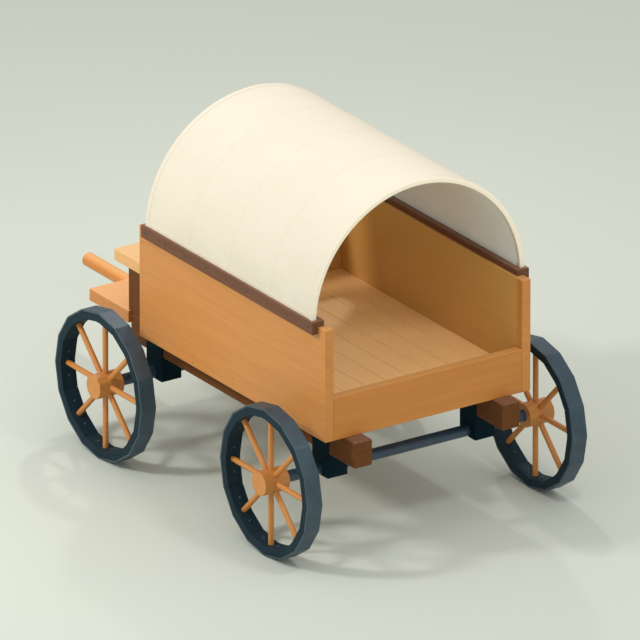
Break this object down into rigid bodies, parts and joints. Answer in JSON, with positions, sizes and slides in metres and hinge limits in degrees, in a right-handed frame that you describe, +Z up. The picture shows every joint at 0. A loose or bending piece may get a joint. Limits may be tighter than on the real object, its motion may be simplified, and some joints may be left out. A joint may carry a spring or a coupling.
{
  "type": "covered wagon",
  "caption": "Short farm wagon with a board box, half-round canvas cover, spoked wheels on fixed axles, driver's seat, footboard and pole.",
  "frame": {"origin": "on the ground under the middle of the wagon's overall box, pole included", "axes": "+X forward along the pole, +Y to the driver's left, +Z up"},
  "size_m": [4.629, 2.458, 2.654],
  "materials": {
    "body_wood": "oiled softwood boards, orange-tan",
    "brown_wood": "dark brown stained timber",
    "seat_wood": "pale planed board",
    "foot_wood": "planed board",
    "pole_wood": "shaved round pole",
    "wheel_wood": "varnished turned wood",
    "slate_wood": "dark slate-blue paint on wood",
    "slate_iron": "dark slate-blue painted iron",
    "axle_steel": "slate-blue painted iron bar",
    "canvas": "cream cotton canvas"
  },
  "bodies": {
    "wagon": {"side_panel_left": "body_wood", "side_panel_right": "body_wood", "tailboard": "body_wood", "front_board": "body_wood", "floor_boards": "body_wood", "floor_bearers": "body_wood", "top_rail_left": "brown_wood", "top_rail_right": "brown_wood", "canopy": "canvas", "sill_left": "brown_wood", "sill_right": "brown_wood", "axle_block_rear_left": "slate_wood", "axle_block_rear_right": "slate_wood", "axle_block_front_left": "slate_wood", "axle_block_front_right": "slate_wood", "axle_rear": "axle_steel", "axle_front": "axle_steel", "seat_board": "seat_wood", "seat_riser_left": "brown_wood", "seat_riser_right": "brown_wood", "seat_floor": "foot_wood", "footboard": "foot_wood", "footboard_bearer_left": "brown_wood", "footboard_bearer_right": "brown_wood", "front_crossbar": "brown_wood", "pole_hanger": "axle_steel", "pole_socket": "axle_steel", "pole": "pole_wood"},
    "wheel_rear_left": {"tyre_rear_left": "slate_iron", "felloes_rear_left": "slate_wood", "spokes_rear_left": "wheel_wood", "hub_rear_left": "wheel_wood"},
    "wheel_rear_right": {"tyre_rear_right": "slate_iron", "felloes_rear_right": "slate_wood", "spokes_rear_right": "wheel_wood", "hub_rear_right": "wheel_wood"},
    "wheel_front_left": {"tyre_front_left": "slate_iron", "felloes_front_left": "slate_wood", "spokes_front_left": "wheel_wood", "hub_front_left": "wheel_wood"},
    "wheel_front_right": {"tyre_front_right": "slate_iron", "felloes_front_right": "slate_wood", "spokes_front_right": "wheel_wood", "hub_front_right": "wheel_wood"}
  },
  "joints": [
    {"name": "wheel_rear_left_spin", "type": "hinge", "parent": "wagon", "child": "wheel_rear_left", "pos_m": [-1.7545, 1.126, 0.56], "axis": [0, 1, 0], "continuous": true},
    {"name": "wheel_rear_right_spin", "type": "hinge", "parent": "wagon", "child": "wheel_rear_right", "pos_m": [-1.7545, -1.126, 0.56], "axis": [0, 1, 0], "continuous": true},
    {"name": "wheel_front_left_spin", "type": "hinge", "parent": "wagon", "child": "wheel_front_left", "pos_m": [0.3705, 1.126, 0.56], "axis": [0, 1, 0], "continuous": true},
    {"name": "wheel_front_right_spin", "type": "hinge", "parent": "wagon", "child": "wheel_front_right", "pos_m": [0.3705, -1.126, 0.56], "axis": [0, 1, 0], "continuous": true}
  ]
}
